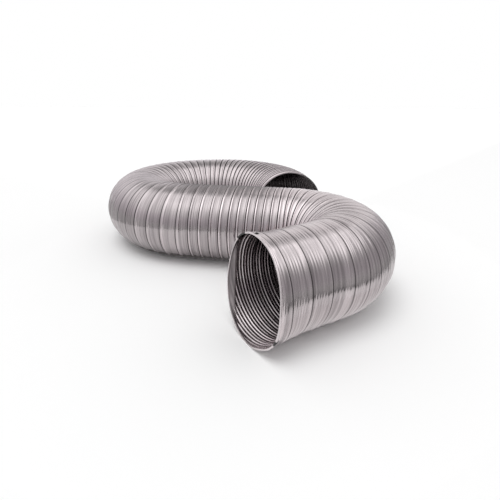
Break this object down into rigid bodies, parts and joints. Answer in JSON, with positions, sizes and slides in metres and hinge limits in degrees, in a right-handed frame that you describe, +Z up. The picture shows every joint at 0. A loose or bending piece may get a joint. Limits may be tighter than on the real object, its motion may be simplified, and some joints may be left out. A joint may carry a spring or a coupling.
{
  "type": "flexible air duct",
  "caption": "Semi-rigid corrugated aluminium duct laid in an S, which bends and stretches to carry air between two collars.",
  "frame": {"origin": "middle of the bounding box's base, on the floor that the duct lies on", "axes": "+Z up; +X along the straight middle run, from the left bend to the right bend; +Y from the front mouth to the back curve"},
  "size_m": [0.4372, 0.5223, 0.1053],
  "materials": {
    "corrugated_foil": "satin, finely corrugated",
    "lock_seam": "satin, folded edge"
  },
  "bodies": {
    "middle_2": {"middle_wall_2": "corrugated_foil", "middle_seam_2": "lock_seam"},
    "middle_1": {"middle_wall_1": "corrugated_foil", "middle_seam_1": "lock_seam"},
    "middle_3": {"middle_wall_3": "corrugated_foil", "middle_seam_3": "lock_seam"},
    "right_bend_4": {"right_bend_wall_4": "corrugated_foil", "right_bend_seam_4": "lock_seam"},
    "right_bend_3": {"right_bend_wall_3": "corrugated_foil", "right_bend_seam_3": "lock_seam"},
    "right_bend_2": {"right_bend_wall_2": "corrugated_foil", "right_bend_seam_2": "lock_seam"},
    "right_bend_1": {"right_bend_wall_1": "corrugated_foil", "right_bend_seam_1": "lock_seam"},
    "front_2": {"front_wall_2": "corrugated_foil", "front_seam_2": "lock_seam"},
    "front_1": {"front_wall_1": "corrugated_foil", "front_seam_1": "lock_seam"},
    "front_end": {"front_end_turn": "corrugated_foil", "front_end_seam": "lock_seam"},
    "left_bend_1": {"left_bend_wall_1": "corrugated_foil", "left_bend_seam_1": "lock_seam"},
    "left_bend_2": {"left_bend_wall_2": "corrugated_foil", "left_bend_seam_2": "lock_seam"},
    "left_bend_3": {"left_bend_wall_3": "corrugated_foil", "left_bend_seam_3": "lock_seam"},
    "left_bend_4": {"left_bend_wall_4": "corrugated_foil", "left_bend_seam_4": "lock_seam"},
    "left_bend_5": {"left_bend_wall_5": "corrugated_foil", "left_bend_seam_5": "lock_seam"},
    "back_1": {"back_wall_1": "corrugated_foil", "back_seam_1": "lock_seam"},
    "back_2": {"back_wall_2": "corrugated_foil", "back_seam_2": "lock_seam"},
    "back_3": {"back_wall_3": "corrugated_foil", "back_seam_3": "lock_seam"},
    "back_end": {"back_end_turn": "corrugated_foil", "back_end_seam": "lock_seam"}
  },
  "joints": [
    {"name": "middle_stretch", "type": "slide", "parent": "middle_2", "child": "middle_1", "axis": [1, 0, 0], "range_m": [0, 0.04]},
    {"name": "middle_stretch_2", "type": "slide", "parent": "middle_2", "child": "middle_3", "axis": [-1, 0, 0], "range_m": [0, 0.04]},
    {"name": "right_bend_open", "type": "hinge", "parent": "middle_1", "child": "right_bend_4", "pos_m": [0.0859, 0.03204, 0.0522], "axis": [0, 0, 1], "range_deg": [0, 27.2]},
    {"name": "right_bend_open_2", "type": "hinge", "parent": "right_bend_4", "child": "right_bend_3", "pos_m": [0.16055, 0.00921, 0.0522], "axis": [0, 0, 1], "range_deg": [0, 27.2]},
    {"name": "right_bend_open_3", "type": "hinge", "parent": "right_bend_3", "child": "right_bend_2", "pos_m": [0.20968, -0.05145, 0.0522], "axis": [0, 0, 1], "range_deg": [0, 27.2]},
    {"name": "right_bend_open_4", "type": "hinge", "parent": "right_bend_2", "child": "right_bend_1", "pos_m": [0.21648, -0.12922, 0.0522], "axis": [0, 0, 1], "range_deg": [0, 27.2]},
    {"name": "right_bend_open_5", "type": "hinge", "parent": "right_bend_1", "child": "front_2", "pos_m": [0.17863, -0.19749, 0.0522], "axis": [0, 0, 1], "range_deg": [0, 27.2]},
    {"name": "front_pull", "type": "slide", "parent": "front_2", "child": "front_1", "axis": [-0.7193, -0.6947, 0], "range_m": [0, 0.02]},
    {"name": "front_mouth_lift", "type": "hinge", "parent": "front_1", "child": "front_end", "pos_m": [0.08896, -0.20972, 0.1057], "axis": [-0.6947, 0.7193, 0], "range_deg": [0, 20]},
    {"name": "left_bend_open", "type": "hinge", "parent": "middle_3", "child": "left_bend_1", "pos_m": [-0.0511, -0.07496, 0.0522], "axis": [0, 0, 1], "range_deg": [0, 31]},
    {"name": "left_bend_open_2", "type": "hinge", "parent": "left_bend_1", "child": "left_bend_2", "pos_m": [-0.15298, -0.04068, 0.0522], "axis": [0, 0, 1], "range_deg": [0, 31]},
    {"name": "left_bend_open_3", "type": "hinge", "parent": "left_bend_2", "child": "left_bend_3", "pos_m": [-0.2134, 0.04823, 0.0522], "axis": [0, 0, 1], "range_deg": [0, 31]},
    {"name": "left_bend_open_4", "type": "hinge", "parent": "left_bend_3", "child": "left_bend_4", "pos_m": [-0.20777, 0.15557, 0.0522], "axis": [0, 0, 1], "range_deg": [0, 31]},
    {"name": "left_bend_open_5", "type": "hinge", "parent": "left_bend_4", "child": "left_bend_5", "pos_m": [-0.13839, 0.23767, 0.0522], "axis": [0, 0, 1], "range_deg": [0, 31]},
    {"name": "left_bend_open_6", "type": "hinge", "parent": "left_bend_5", "child": "back_1", "pos_m": [-0.03349, 0.26112, 0.0522], "axis": [0, 0, 1], "range_deg": [0, 31]},
    {"name": "back_curve_open", "type": "hinge", "parent": "back_1", "child": "back_2", "pos_m": [0.03421, 0.24042, 0.0522], "axis": [0, 0, 1], "range_deg": [0, 22]},
    {"name": "back_curve_open_2", "type": "hinge", "parent": "back_2", "child": "back_3", "pos_m": [0.08922, 0.19587, 0.0522], "axis": [0, 0, 1], "range_deg": [0, 22]},
    {"name": "back_curve_open_3", "type": "hinge", "parent": "back_3", "child": "back_end", "pos_m": [0.12354, 0.13395, 0.0522], "axis": [0, 0, 1], "range_deg": [0, 22]}
  ],
  "couplings": [
    {"joint": "middle_stretch_2", "follows": "middle_stretch", "ratio": 1},
    {"joint": "right_bend_open_2", "follows": "right_bend_open", "ratio": 1},
    {"joint": "right_bend_open_3", "follows": "right_bend_open", "ratio": 1},
    {"joint": "right_bend_open_4", "follows": "right_bend_open", "ratio": 1},
    {"joint": "right_bend_open_5", "follows": "right_bend_open", "ratio": 1},
    {"joint": "left_bend_open_2", "follows": "left_bend_open", "ratio": 1},
    {"joint": "left_bend_open_3", "follows": "left_bend_open", "ratio": 1},
    {"joint": "left_bend_open_4", "follows": "left_bend_open", "ratio": 1},
    {"joint": "left_bend_open_5", "follows": "left_bend_open", "ratio": 1},
    {"joint": "left_bend_open_6", "follows": "left_bend_open", "ratio": 1},
    {"joint": "back_curve_open_2", "follows": "back_curve_open", "ratio": 1},
    {"joint": "back_curve_open_3", "follows": "back_curve_open", "ratio": 1}
  ]
}
